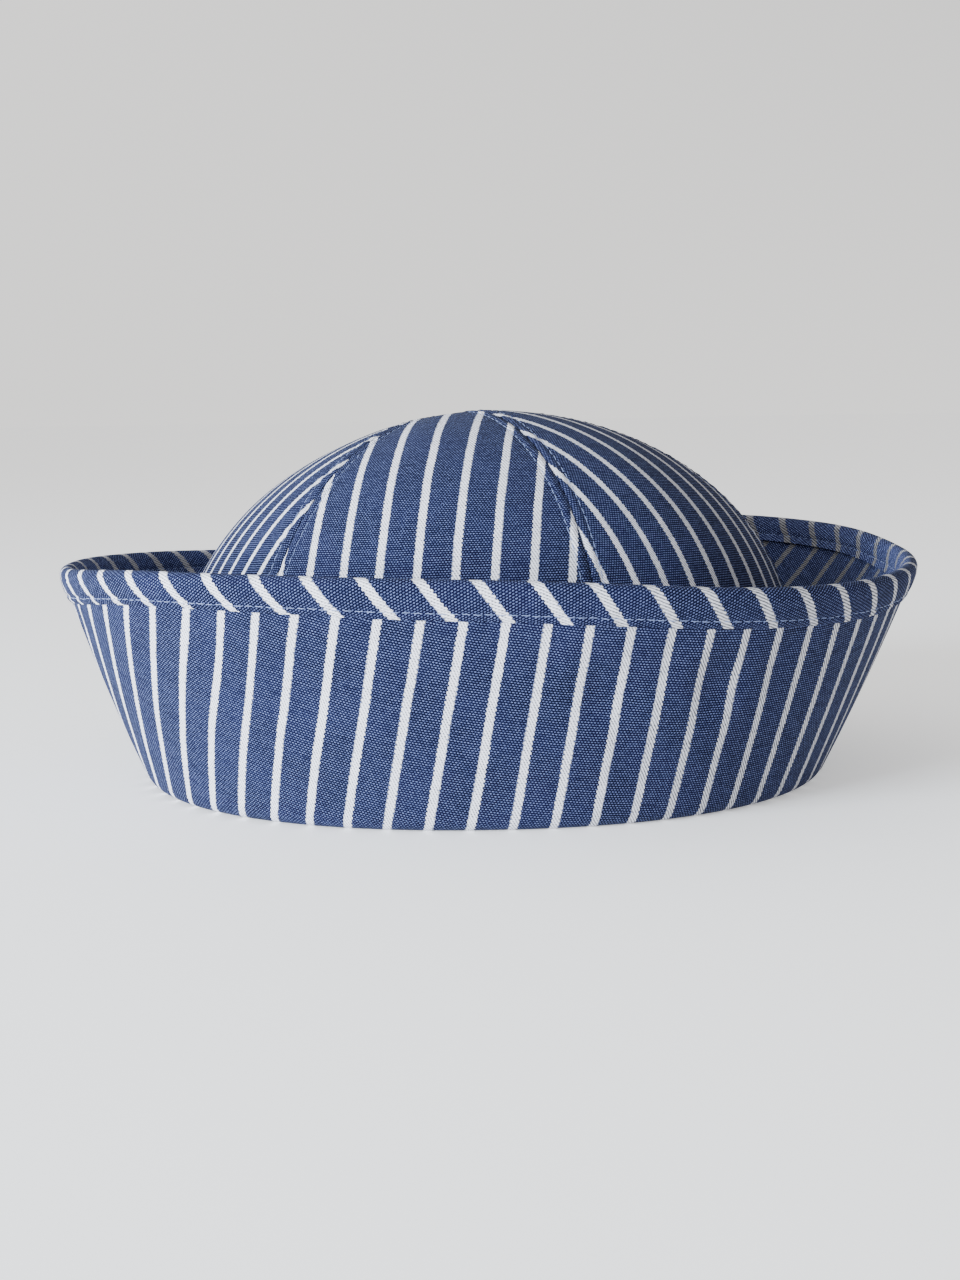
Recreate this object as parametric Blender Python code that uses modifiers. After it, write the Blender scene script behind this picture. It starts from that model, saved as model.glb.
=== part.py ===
"""Sailor cap in striped cloth: a crown of six gores inside a turned-up brim with a bound rim.

Metres, +Z up. The cap stands on the fold of its brim at z = 0, with the middle of its rim over
the origin. -Y is its front and +X its right. An azimuth is an angle in degrees about the middle
of the crown's foot, from the front towards the right.
"""

from functools import cache
from math import atan2, copysign, cos, hypot, pi, radians, sin, tan

import bmesh
import bpy
from mathutils import Vector

# Cloth
CLOTH = 0.0014  # each gore and each layer of the brim
BINDING_CLOTH = 0.0010
GAP = 0.0003  # between pieces that touch

# Crown, measured on its outside
FOOT_HALF_WIDTH = 0.0970
FOOT_HALF_DEPTH = 0.0900
FOOT_FULLNESS = 2.15  # exponent of the foot's outline: 2 is an ellipse, more is squarer
CROWN_HEIGHT = 0.1095
CROWN_FOOT_HEIGHT = 0.0035  # lower edge of the gores, inside the fold of the brim
SIDE_FULLNESS = 1.83  # exponents of the crown's profile, across and up
TOP_FULLNESS = 2.95
CROWN_LEAN = 0.0040  # how far the top of the crown sits to the right of its foot
SEAM_DEPTH = 0.0009  # how far a gore is drawn in along its two seams
SEAM_DRAW = 8  # the higher, the narrower the strip that is drawn in
SEAM_STARTS = 0.35  # share of the way up where a seam has its full depth

# Where the seams of the crown meet, as shares of the foot's half width and half depth
SEAMS_MEET = {"right": -0.125, "back": 0.20}
TIP_REACH = 0.009  # share of a seam's length that the tip of a gore is cut short by
SEAM_FEET = (-44.0, 20.0, 79.0, 138.0, 197.0, 256.0)  # azimuths of the six seams at the foot

# Brim, measured along its outer face
BRIM_HEIGHT = 0.0660
BRIM_FLARE = 0.0240  # how much farther out the rim is than the fold
BRIM_STAND_OFF = 0.0053  # from the crown's foot to the brim's outer face, at z = 0
BRIM_BELLY = 0.0008  # how far the slope swells out, half way up
FOLD_RADIUS = 0.0049
LEG_RADIUS = 0.0026  # where the outer layer turns up again, inside the crown
LEG_HEIGHT = 0.0100
TROUGH_HEIGHT = 0.0050  # lower edge of the inner layer, beside the crown's foot

# Rim round the cap. Height and flare are shares of BRIM_HEIGHT and BRIM_FLARE.
RIM = (
    {"azimuth": 0, "height": 1.030, "flare": 0.93},
    {"azimuth": 45, "height": 0.947, "flare": 1.12},
    {"azimuth": 90, "height": 0.983, "flare": 1.15},
    {"azimuth": 135, "height": 1.063, "flare": 1.01},
    {"azimuth": 180, "height": 1.009, "flare": 0.80},
    {"azimuth": 225, "height": 0.945, "flare": 0.89},
    {"azimuth": 270, "height": 0.983, "flare": 0.98},
    {"azimuth": 315, "height": 1.045, "flare": 1.01},
)

# Soft upright dents in the brim. Width is in degrees, up is a share of the brim's height
# and depth a share of BRIM_FLARE.
DENTS = (
    {"azimuth": 14, "width": 7, "up": 0.58, "depth": 0.045},
    {"azimuth": 30, "width": 6, "up": 0.60, "depth": 0.050},
    {"azimuth": -24, "width": 8, "up": 0.55, "depth": 0.030},
    {"azimuth": 118, "width": 8, "up": 0.56, "depth": 0.040},
    {"azimuth": 205, "width": 9, "up": 0.55, "depth": 0.045},
)
DENT_TALL = 0.22  # half height of a dent, as a share of the brim's height

# Binding over the rim
BINDING_OUTSIDE = 0.0120
BINDING_INSIDE = 0.0100

# Faces
BRIM_COLUMNS = 64
GORE_COLUMNS = 9
GORE_ROWS = 12
FOOT_CROWDING = 1.3  # above 1, the rows of a gore lie closer near its foot
FOLD_STEPS = 4
LEG_STEPS = 2
TROUGH_STEPS = 3
RIM_STEPS = 4
WALL_ROWS = 5

COLLECTION = "sailor_cap"
BLUE = (0.075, 0.130, 0.320, 1.0)
BINDING_BLUE = (0.090, 0.145, 0.330, 1.0)


def signed_power(base, exponent):
    return copysign(abs(base) ** exponent, base)


def foot_point(azimuth):
    """Point of the crown's foot, as seen from above."""
    turn = radians(azimuth)
    across = signed_power(sin(turn), 2 / FOOT_FULLNESS)
    along = signed_power(cos(turn), 2 / FOOT_FULLNESS)
    return Vector((FOOT_HALF_WIDTH * across, -FOOT_HALF_DEPTH * along, 0))


def foot_outward(azimuth):
    """Level direction square to the crown's foot, away from the head."""
    point = foot_point(azimuth)
    steep = FOOT_FULLNESS - 1
    across = signed_power(point.x / FOOT_HALF_WIDTH, steep) / FOOT_HALF_WIDTH
    along = signed_power(point.y / FOOT_HALF_DEPTH, steep) / FOOT_HALF_DEPTH
    return Vector((across, along, 0)).normalized()


def beside_foot(azimuth, out, height):
    """Point this far outside the crown's foot and this far above the surface below."""
    return foot_point(azimuth) + foot_outward(azimuth) * out + Vector((0, 0, height))


def crown_height_over(point):
    """Height of the crown's outside over a point seen from above."""
    across = abs(point.x / FOOT_HALF_WIDTH) ** FOOT_FULLNESS
    along = abs(point.y / FOOT_HALF_DEPTH) ** FOOT_FULLNESS
    share = min((across + along) ** (SIDE_FULLNESS / FOOT_FULLNESS), 1.0)
    return CROWN_HEIGHT * (1 - share) ** (1 / TOP_FULLNESS)


def seams_meet():
    return Vector((SEAMS_MEET["right"] * FOOT_HALF_WIDTH, SEAMS_MEET["back"] * FOOT_HALF_DEPTH, 0))


def round_the_rim(azimuth, column):
    """A column of the rim's table, run smoothly through its rows and round the cap."""
    step = 360 / len(RIM)
    place = (azimuth % 360) / step
    row = int(place)
    share = place - row
    before, start, end, after = (RIM[(row + shift) % len(RIM)][column] for shift in (-1, 0, 1, 2))
    leaving = (end - before) / 2
    arriving = (after - start) / 2
    cubic = 2 * (start - end) + leaving + arriving
    square = 3 * (end - start) - 2 * leaving - arriving
    return ((cubic * share + square) * share + leaving) * share + start


class BrimSection:
    """The brim cut through at one azimuth, as distances out from the crown's foot and up."""

    def __init__(self, azimuth):
        self.azimuth = azimuth
        self.flare = BRIM_FLARE * round_the_rim(azimuth, "flare")
        self.height = BRIM_HEIGHT * round_the_rim(azimuth, "height")
        self.lean = atan2(self.flare, self.height)
        self.length = hypot(self.flare, self.height)
        slack = (1 - sin(self.lean)) * tan(self.lean) - cos(self.lean)
        self.fold_centre = BRIM_STAND_OFF + FOLD_RADIUS * slack
        self.fold_start = FOLD_RADIUS * (1 - sin(self.lean)) / cos(self.lean)
        self.layers_top = self.length - binding_radius()

    def wall(self, along, inset):
        """Point up the slope from z = 0 and this far in from the outer face."""
        up = along / self.length
        inset = inset + dent_depth(self.azimuth, up) - BRIM_BELLY * 4 * up * (1 - up)
        out = BRIM_STAND_OFF + along * sin(self.lean) - inset * cos(self.lean)
        return out, along * cos(self.lean) + inset * sin(self.lean)

    def wall_rows(self, first, inset):
        """Points up the slope, the same ones for both layers, up to the round of the binding."""
        climb = self.layers_top - self.fold_start
        rows = range(first, WALL_ROWS + 1)
        return [self.wall(self.fold_start + climb * row / WALL_ROWS, inset) for row in rows]


def dent_depth(azimuth, up):
    """How far the brim is pressed in, at a share of its height."""
    depth = 0
    for dent in DENTS:
        across = ((azimuth - dent["azimuth"] + 180) % 360 - 180) / dent["width"]
        away = hypot(across, (up - dent["up"]) / DENT_TALL)
        if away < 1:
            depth += BRIM_FLARE * dent["depth"] * cos(away * pi / 2) ** 2
    return depth


def arc(centre, radius, start, end, steps):
    """Points of an arc in a section, from one angle above level to another."""
    points = []
    for step in range(steps + 1):
        angle = start + (end - start) * step / steps
        points.append((centre[0] + radius * cos(angle), centre[1] + radius * sin(angle)))
    return points


def layers_thickness():
    return 2 * CLOTH + GAP


def binding_radius():
    return layers_thickness() / 2 + GAP + BINDING_CLOTH


def outer_layer_section(azimuth):
    """From the short leg inside the crown, under the flat that the cap stands on, and up to the rim."""
    section = BrimSection(azimuth)
    leg_face = -2 * (CLOTH + GAP)
    leg = (leg_face + LEG_RADIUS, LEG_RADIUS)
    fold = (section.fold_centre, FOLD_RADIUS)
    points = [(leg_face, LEG_HEIGHT)]
    points += arc(leg, LEG_RADIUS, -pi, -pi / 2, LEG_STEPS)
    points += arc(fold, FOLD_RADIUS, -pi / 2, -section.lean, FOLD_STEPS)
    points += section.wall_rows(1, 0)
    return points


def inner_layer_section(azimuth):
    """From the crown's foot, round the bottom of the trough and up to the rim."""
    section = BrimSection(azimuth)
    wall = section.wall_rows(1, layers_thickness())
    start = (GAP, TROUGH_HEIGHT)
    corner = section.wall(section.fold_start, layers_thickness())
    points = []
    for step in range(TROUGH_STEPS):
        share = step / TROUGH_STEPS
        weights = ((1 - share) ** 2, 2 * share * (1 - share), share**2)
        out, height = (sum(w * p[i] for w, p in zip(weights, (start, corner, wall[0]))) for i in (0, 1))
        points.append((out, height))
    return points + wall


def binding_section(azimuth):
    """Up the outside, over the rim and down the inside."""
    section = BrimSection(azimuth)
    proud = GAP + BINDING_CLOTH
    centre = section.wall(section.layers_top, layers_thickness() / 2)
    points = [section.wall(section.length - BINDING_OUTSIDE, -proud)]
    points += arc(centre, binding_radius(), -section.lean, pi - section.lean, RIM_STEPS)
    points.append(section.wall(section.length - BINDING_INSIDE, layers_thickness() + proud))
    return points


@cache
def rim_middle():
    """Middle of the rim's outline from above, which stands over the origin."""
    outline = []
    for column in range(BRIM_COLUMNS):
        azimuth = 360 * column / BRIM_COLUMNS
        outline += [beside_foot(azimuth, out, 0) for out, _ in binding_section(azimuth)]
    across = [point.x for point in outline]
    along = [point.y for point in outline]
    return Vector((max(across) + min(across), max(along) + min(along), 0)) / 2


def cloth_material(name, colour):
    material = bpy.data.materials.new(name)
    material.use_nodes = True
    shader = material.node_tree.nodes["Principled BSDF"]
    shader.inputs["Base Color"].default_value = colour
    shader.inputs["Roughness"].default_value = 0.9
    shader.inputs["Metallic"].default_value = 0.0
    return material


def bent_sheet(name, columns, rows, place, wall, material, closed=False, press=None):
    """A grid whose points go where place(u, v) says, with a wall behind its face or before it."""
    grid = bmesh.new()
    bmesh.ops.create_grid(grid, x_segments=columns, y_segments=rows, size=0.5)
    shares = {vertex: (vertex.co.x + 0.5, vertex.co.y + 0.5) for vertex in grid.verts}
    for vertex, (u, v) in shares.items():
        vertex.co = place(u, v)
    if press:
        grid.normal_update()
        for vertex, (u, v) in shares.items():
            vertex.co = vertex.co - vertex.normal * press(u, v)
    if closed:
        bmesh.ops.remove_doubles(grid, verts=grid.verts, dist=1e-6)
    mesh = bpy.data.meshes.new(name)
    grid.to_mesh(mesh)
    grid.free()
    mesh.materials.append(material)
    mesh.shade_smooth()
    piece = bpy.data.objects.new(name, mesh)
    piece.location = -rim_middle()
    bpy.data.collections[COLLECTION].objects.link(piece)
    cloth = piece.modifiers.new("Cloth", "SOLIDIFY")
    cloth.thickness = abs(wall)
    cloth.offset = copysign(1, wall)
    cloth.use_even_offset = True


def make_gore(number, material):
    first = SEAM_FEET[number]
    last = SEAM_FEET[(number + 1) % len(SEAM_FEET)]
    sweep = (last - first) % 360
    meet = seams_meet()

    def beside_seam(azimuth, side):
        """Half a gap, square to a seam and into the gore."""
        seam = (foot_point(azimuth) - meet).normalized()
        return Vector((-seam.y, seam.x, 0)) * side * GAP / 2

    into_first = beside_seam(first, 1)
    into_last = beside_seam(last, -1)

    def place(u, v):
        reach = max(cos(v**FOOT_CROWDING * pi / 2), TIP_REACH)
        plan = meet + (foot_point(first + sweep * u) - meet) * reach
        height = max(crown_height_over(plan), CROWN_FOOT_HEIGHT)
        lean = Vector((CROWN_LEAN * height / CROWN_HEIGHT, 0, height))
        return plan + into_first * (1 - u) + into_last * u + lean

    def press(u, v):
        return SEAM_DEPTH * abs(2 * u - 1) ** SEAM_DRAW * min(v / SEAM_STARTS, 1) ** 2

    name = f"crown_panel_{number + 1}"
    bent_sheet(name, GORE_COLUMNS, GORE_ROWS, place, -CLOTH, material, press=press)


def make_ring(name, section_at, wall, material):
    rows = len(section_at(0)) - 1

    def place(u, v):
        azimuth = 360 * u
        out, height = section_at(azimuth)[round(v * rows)]
        return beside_foot(azimuth, out, height)

    bent_sheet(name, BRIM_COLUMNS, rows, place, wall, material, closed=True)


def main():
    for leftover in list(bpy.data.objects):
        bpy.data.objects.remove(leftover)
    collection = bpy.data.collections.new(COLLECTION)
    bpy.context.scene.collection.children.link(collection)
    striped = cloth_material("striped_cloth", BLUE)
    bias = cloth_material("bias_strip", BINDING_BLUE)
    for number in range(len(SEAM_FEET)):
        make_gore(number, striped)
    make_ring("brim_outer", outer_layer_section, -CLOTH, striped)
    make_ring("brim_inner", inner_layer_section, CLOTH, striped)
    make_ring("rim_binding", binding_section, -BINDING_CLOTH, bias)


main()
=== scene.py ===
"""Looks of a sailor cap in striped chambray: crown panels, turned-up brim, bound rim and sewing.

Metres, +Z up. -Y is the front and +X the right of the cap. An azimuth is an angle in degrees
about the middle of the crown's foot, from the front towards the right.
"""

from math import cos, pi, radians, sin

import bpy
import numpy as np
from bpy.props import FloatProperty, FloatVectorProperty, IntProperty, PointerProperty
from bpy.types import Operator, Panel, PropertyGroup
from mathutils import Matrix, Vector


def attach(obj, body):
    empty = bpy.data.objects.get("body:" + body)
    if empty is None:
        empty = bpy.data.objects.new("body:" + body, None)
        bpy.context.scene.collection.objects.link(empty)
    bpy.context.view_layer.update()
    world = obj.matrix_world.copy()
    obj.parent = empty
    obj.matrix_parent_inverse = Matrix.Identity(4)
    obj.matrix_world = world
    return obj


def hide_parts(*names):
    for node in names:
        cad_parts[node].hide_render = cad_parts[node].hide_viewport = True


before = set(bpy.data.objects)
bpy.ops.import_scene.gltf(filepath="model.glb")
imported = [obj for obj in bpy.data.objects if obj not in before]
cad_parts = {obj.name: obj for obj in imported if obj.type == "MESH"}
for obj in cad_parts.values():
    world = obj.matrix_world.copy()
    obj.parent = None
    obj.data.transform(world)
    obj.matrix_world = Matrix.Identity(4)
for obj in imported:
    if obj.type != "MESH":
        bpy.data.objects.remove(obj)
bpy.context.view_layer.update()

bl_info = {
    "name": "Sailor cap looks",
    "version": (1, 0, 0),
    "blender": (4, 5, 0),
    "location": "3D View > Sidebar > Sailor cap",
    "description": "Dresses the sailor cap in striped chambray with sewn seams and a bound rim",
    "category": "Object",
}

# Cloth thicknesses and the gaps between layers
CLOTH = 0.0012
BINDING_CLOTH = 0.0007
GAP = 0.0003
BINDING_GAP = 0.00012
LAYERS = 2 * CLOTH + GAP
BINDING_RADIUS = LAYERS / 2 + BINDING_GAP + BINDING_CLOTH

# Crown
FOOT_HALF_WIDTH = 0.0970
FOOT_HALF_DEPTH = 0.0900
FOOT_FULLNESS = 2.15
CROWN_HEIGHT = 0.1091
CROWN_FOOT_HEIGHT = 0.0035
SIDE_FULLNESS = 1.83
TOP_FULLNESS = 2.95
CROWN_LEAN = 0.0036
SEAMS_MEET = (-0.125 * FOOT_HALF_WIDTH, 0.20 * FOOT_HALF_DEPTH, 0.0)
TIP_REACH = 0.009
FOOT_CROWDING = 1.3
SEAM_FEET = (-40.8, 17.4, 79.0, 138.0, 197.0, 256.0)

# Brim
BRIM_HEIGHT = 0.0660
BRIM_FLARE = 0.0240
BRIM_STAND_OFF = 0.0053
BRIM_BELLY = 0.0008
FOLD_RADIUS = 0.0049
LEG_RADIUS = 0.0026
LEG_HEIGHT = 0.0100
TROUGH_HEIGHT = 0.0050

# Binding
BINDING_INSIDE = 0.0090
EDGE_PRESSED = 0.00046  # outside
EDGE_LIFTED = 0.00045  # inside
STRIP_LEG = 0.0107  # flat strip from its outer edge to the top of the rim, before the bend
STRIP_LINE = 0.0060  # below the rim, where the strip's length is measured
INSIDE_FROM = 0.0035  # past the top of the rim, where the cloth counts as the brim's inside, with painted shade
INNER_STITCHES_SUNK = 0.00007

# Rim round the cap: shares of BRIM_HEIGHT and BRIM_FLARE, and the binding's width outside in metres
RIM = (
    {"azimuth": 0, "height": 1.030, "flare": 0.93, "binding": 0.0104},
    {"azimuth": 45, "height": 0.947, "flare": 1.12, "binding": 0.0107},
    {"azimuth": 90, "height": 0.983, "flare": 1.15, "binding": 0.0107},
    {"azimuth": 135, "height": 1.063, "flare": 1.01, "binding": 0.0105},
    {"azimuth": 180, "height": 1.009, "flare": 0.80, "binding": 0.0104},
    {"azimuth": 225, "height": 0.945, "flare": 0.89, "binding": 0.0100},
    {"azimuth": 270, "height": 0.983, "flare": 0.98, "binding": 0.0105},
    {"azimuth": 315, "height": 1.045, "flare": 1.01, "binding": 0.0091},
)

# Slight rises and dips of the rim: azimuth and width in degrees, rise in metres
RIM_WAVES = (
    {"azimuth": 292, "width": 16, "rise": -0.0010},
    {"azimuth": 222, "width": 14, "rise": -0.0015},
    {"azimuth": 108, "width": 14, "rise": 0.0009},
)

# Soft upright dents in the brim: azimuth and width in degrees, up and tall as shares of its height,
# depth in metres
DENTS = (
    {"azimuth": 14, "width": 7, "up": 0.58, "tall": 0.22, "depth": 0.0011},
    {"azimuth": 30, "width": 6, "up": 0.60, "tall": 0.22, "depth": 0.0012},
    {"azimuth": -24, "width": 8, "up": 0.55, "tall": 0.22, "depth": 0.0007},
    {"azimuth": 118, "width": 8, "up": 0.56, "tall": 0.22, "depth": 0.0010},
    {"azimuth": 205, "width": 9, "up": 0.55, "tall": 0.22, "depth": 0.0011},
    {"azimuth": 7, "width": 3, "up": 0.72, "tall": 0.16, "depth": 0.0004},
    {"azimuth": 22, "width": 3, "up": 0.70, "tall": 0.18, "depth": 0.0005},
    {"azimuth": 39, "width": 4, "up": 0.66, "tall": 0.20, "depth": 0.0004},
)

# Where the brim's stripes are pushed aside: azimuth and width in degrees, up and tall as shares of
# its height, shift to the right in metres
STRIPE_SHIFTS = ({"azimuth": -35.5, "width": 6.5, "up": 0.72, "tall": 0.28, "shift": 0.0017},)

# How the cloth lies on the brim and the binding. Pitch is from stripe to stripe, first tells in
# pitches where stripe 0 lies, lean is the stripes' tilt at the front, fan its change per metre round,
# bias the strip's angle in degrees, and give what the strip has stretched on either side.
BRIM_CLOTH = {
    "pitch": 0.01068,
    "first": 10.85,
    "lean": 0.1608,
    "fan": -2.7065,
    "shifts": STRIPE_SHIFTS,
}
LINING_CLOTH = {"pitch": 0.01010, "first": 1.00, "lean": 0.0360, "fan": -2.7065, "shifts": ()}
BINDING_STRIP = {
    "pitch": 0.01168,
    "first": 8.53,
    "bias": 35.5,
    "give_left": 0.05,
    "give_right": 0.018,
}

# How the cloth lies on each crown panel: pitch, and first in metres from the panel's middle
PANEL_CLOTH = (
    {"pitch": 0.0105, "first": 0.00115},
    {"pitch": 0.0089, "first": 0.00325},
    {"pitch": 0.0105, "first": 0.0030},
    {"pitch": 0.0105, "first": -0.0021},
    {"pitch": 0.0105, "first": 0.0044},
    {"pitch": 0.0079, "first": 0.0044},
)

# Azimuths of the brim's one upright seam and of the join in the binding, at the back
BRIM_SEAM = 211.0
BINDING_JOIN = 203.0

# How the light from all round changes: per unit of direction to the right and to the back, above a
# band over the horizon where it is even, and its fall per unit of direction up
SKY_SLOPE = (-0.40, 0.05)
SKY_FALL = 0.58
SKY_BAND = 0.22
SKY_LEAST = 0.15
SKY_COLOUR = (1.0, 0.99, 0.975, 1.0)

KEY_LIGHT = {
    "place": (-1.15, -1.00, 0.24),
    "target": (0, 0, 0.05),
    "size": 0.8,
    "colour": (0.82, 0.90, 1.0),
}
TOP_LIGHT = {
    "place": (-0.1, -0.2, 1.3),
    "target": (0, 0, 0),
    "size": 1.2,
    "colour": (1.0, 1.0, 1.0),
}
FLOOR_HALF_WIDTH = 8.0

CAMERA_PLACE = (-0.00293, -0.5785, 0.1137)
CAMERA_DOWN = 0.1288
CAMERA_ROLL = -0.0156

# Columns and rows of the grids that the sheets are made of
GORE_COLUMNS = 60
GORE_ROWS = 180
BRIM_COLUMNS = 440
WALL_ROWS = 60
INNER_ROWS = 41
INNER_ROWS_IN_TROUGH = 8
TROUGH_ROWS = 12
BINDING_COLUMNS = 600
OUTSIDE_ROWS = 20
RIM_ROWS = 17
INSIDE_ROWS = 16


class ClothSettings(PropertyGroup):
    """The striped chambray"""

    stripe_pitch: FloatProperty(
        name="Stripe pitch",
        description="Distance from stripe to stripe across the flat cloth",
        default=0.01068,
        min=0.002,
        unit="LENGTH",
    )
    stripe_width: FloatProperty(
        name="Stripe width",
        description="Width of a pale stripe",
        default=0.0022,
        min=0.0005,
        unit="LENGTH",
    )
    thread_across: FloatProperty(
        name="Threads across",
        description="Distance between the pale specks of the weave along a row",
        default=0.00087,
        min=0.0002,
        unit="LENGTH",
    )
    thread_up: FloatProperty(
        name="Threads up",
        description="Distance between the rows of the weave",
        default=0.00070,
        min=0.0002,
        unit="LENGTH",
    )
    ground: FloatVectorProperty(
        name="Ground",
        description="Colour of the dark blue threads",
        default=(0.0010, 0.0014, 0.0114),
        subtype="COLOR",
        size=3,
        min=0,
        max=1,
    )
    speck: FloatVectorProperty(
        name="Speck",
        description="Colour of the pale threads where they cross over the blue ones",
        default=(0.099, 0.126, 0.257),
        subtype="COLOR",
        size=3,
        min=0,
        max=1,
    )
    stripe: FloatVectorProperty(
        name="Stripe",
        description="Colour of the pale stripes",
        default=(0.790, 0.795, 0.870),
        subtype="COLOR",
        size=3,
        min=0,
        max=1,
    )


class SewingSettings(PropertyGroup):
    """Stitches and the cloth drawn in along them"""

    stitch_length: FloatProperty(
        name="Stitch length",
        description="Length of one visible stitch",
        default=0.0026,
        min=0.0005,
        unit="LENGTH",
    )
    stitch_gap: FloatProperty(
        name="Stitch gap",
        description="Distance from one stitch to the next",
        default=0.0004,
        min=0.0001,
        unit="LENGTH",
    )
    thread_radius: FloatProperty(
        name="Thread radius",
        description="Radius of the sewing thread",
        default=0.000095,
        min=0.00003,
        unit="LENGTH",
    )
    beside_seam: FloatProperty(
        name="Beside the seam",
        description="Distance from a crown seam to the stitches on either side of it",
        default=0.0029,
        min=0.0005,
        unit="LENGTH",
    )
    above_edge: FloatProperty(
        name="Above the edge",
        description="Distance from the binding's edge to its stitches",
        default=0.0024,
        min=0.0005,
        unit="LENGTH",
    )
    pucker: FloatProperty(
        name="Pucker",
        description="Depth of the little ripples along a seam",
        default=0.00012,
        min=0,
        unit="LENGTH",
    )
    thread: FloatVectorProperty(
        name="Thread",
        description="Colour of the sewing thread",
        default=(0.170, 0.230, 0.440),
        subtype="COLOR",
        size=3,
        min=0,
        max=1,
    )
    stitch_seed: IntProperty(
        name="Seed",
        description="Starts the random draws of the stitches",
        default=7,
        min=0,
    )


class StageSettings(PropertyGroup):
    """Floor, lights and camera"""

    floor: FloatVectorProperty(
        name="Floor",
        description="Colour of the floor",
        default=(0.93, 0.93, 0.93),
        subtype="COLOR",
        size=3,
        min=0,
        max=1,
    )
    floor_glow: FloatProperty(
        name="Floor glow",
        description="Strength of the even light that the floor gives, as a light table does",
        default=0.41,
        min=0,
    )
    key_power: FloatProperty(
        name="Key light",
        description="Power of the large light at the front left",
        default=114.0,
        min=0,
        unit="POWER",
    )
    top_power: FloatProperty(
        name="Top light",
        description="Power of the large light overhead",
        default=0.5,
        min=0,
        unit="POWER",
    )
    sky: FloatProperty(
        name="Sky",
        description="Strength of the light from the horizon all round",
        default=1.30,
        min=0,
    )
    lens: FloatProperty(
        name="Lens",
        description="Focal length on a 36 mm sensor",
        default=53.20,
        min=10,
        unit="CAMERA",
    )


def signed_power(base, exponent):
    return np.sign(base) * np.abs(base) ** exponent


def upright(height):
    return np.stack([0 * height, 0 * height, height], -1)


def foot_point(azimuth):
    """Point of the crown's foot, as seen from above."""
    turn = np.radians(azimuth)
    across = FOOT_HALF_WIDTH * signed_power(np.sin(turn), 2 / FOOT_FULLNESS)
    along = -FOOT_HALF_DEPTH * signed_power(np.cos(turn), 2 / FOOT_FULLNESS)
    return np.stack([across, along, 0 * turn], -1)


def foot_outward(azimuth):
    """Level direction square to the crown's foot, away from the head."""
    point = foot_point(azimuth)
    across = signed_power(point[..., 0] / FOOT_HALF_WIDTH, FOOT_FULLNESS - 1) / FOOT_HALF_WIDTH
    along = signed_power(point[..., 1] / FOOT_HALF_DEPTH, FOOT_FULLNESS - 1) / FOOT_HALF_DEPTH
    return unit(np.stack([across, along, 0 * across], -1))


def unit(vectors):
    return vectors / np.maximum(np.linalg.norm(vectors, axis=-1, keepdims=True), 1e-12)


def beside_foot(azimuth, out, height):
    return foot_point(azimuth) + foot_outward(azimuth) * out[..., None] + upright(height)


def round_the_rim(azimuth, column):
    """A column of the rim's table, run smoothly through its rows and round the cap."""
    values = np.array([row[column] for row in RIM])
    place = (np.asarray(azimuth, float) % 360) * len(RIM) / 360
    row = np.floor(place).astype(int)
    share = place - row
    before, start, end, after = (values[(row + shift) % len(RIM)] for shift in (-1, 0, 1, 2))
    leaving = (end - before) / 2
    arriving = (after - start) / 2
    cubic = 2 * (start - end) + leaving + arriving
    square = 3 * (end - start) - 2 * leaving - arriving
    return ((cubic * share + square) * share + leaving) * share + start


def away_from(azimuth, middle):
    """Signed angle from a middle azimuth, the short way round."""
    return (azimuth - middle + 180) % 360 - 180


def ridge(away, height, place, width):
    """A rounded ridge across a distance: its height, and a smooth fall on both sides of its place."""
    return height * np.exp(-(((away - place) / width) ** 2))


def rim_rise(azimuth):
    rise = 0 * azimuth
    for wave in RIM_WAVES:
        rise = rise + ridge(away_from(azimuth, wave["azimuth"]), wave["rise"], 0, wave["width"])
    return rise


def brim_relief(azimuth, up):
    """How far the brim is pressed in, at a share of its height."""
    depth = 0 * azimuth * up
    for dent in DENTS:
        across = away_from(azimuth, dent["azimuth"]) / dent["width"]
        away = np.hypot(across, (up - dent["up"]) / dent["tall"])
        depth = depth + dent["depth"] * np.cos(np.minimum(away, 1) * pi / 2) ** 2
    turn = np.radians(azimuth)
    slow = np.sin(11 * turn + 0.7) + np.sin(17 * turn + 2.1) + 0.7 * np.sin(29 * turn + 4.0 + 2 * up)
    slow = slow * 0.00012 * np.sin(pi * np.clip(up, 0, 1))
    under_binding = np.sin(83 * turn + 3 * np.sin(9 * turn)) * ridge(up, 0.00010, 0.83, 0.14)
    seam = ridge(away_from(azimuth, BRIM_SEAM), 0.0007, 0, 0.45)
    above_fold = np.clip(up * 6, 0, 1)
    return depth + above_fold * (slow + under_binding + seam)


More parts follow.
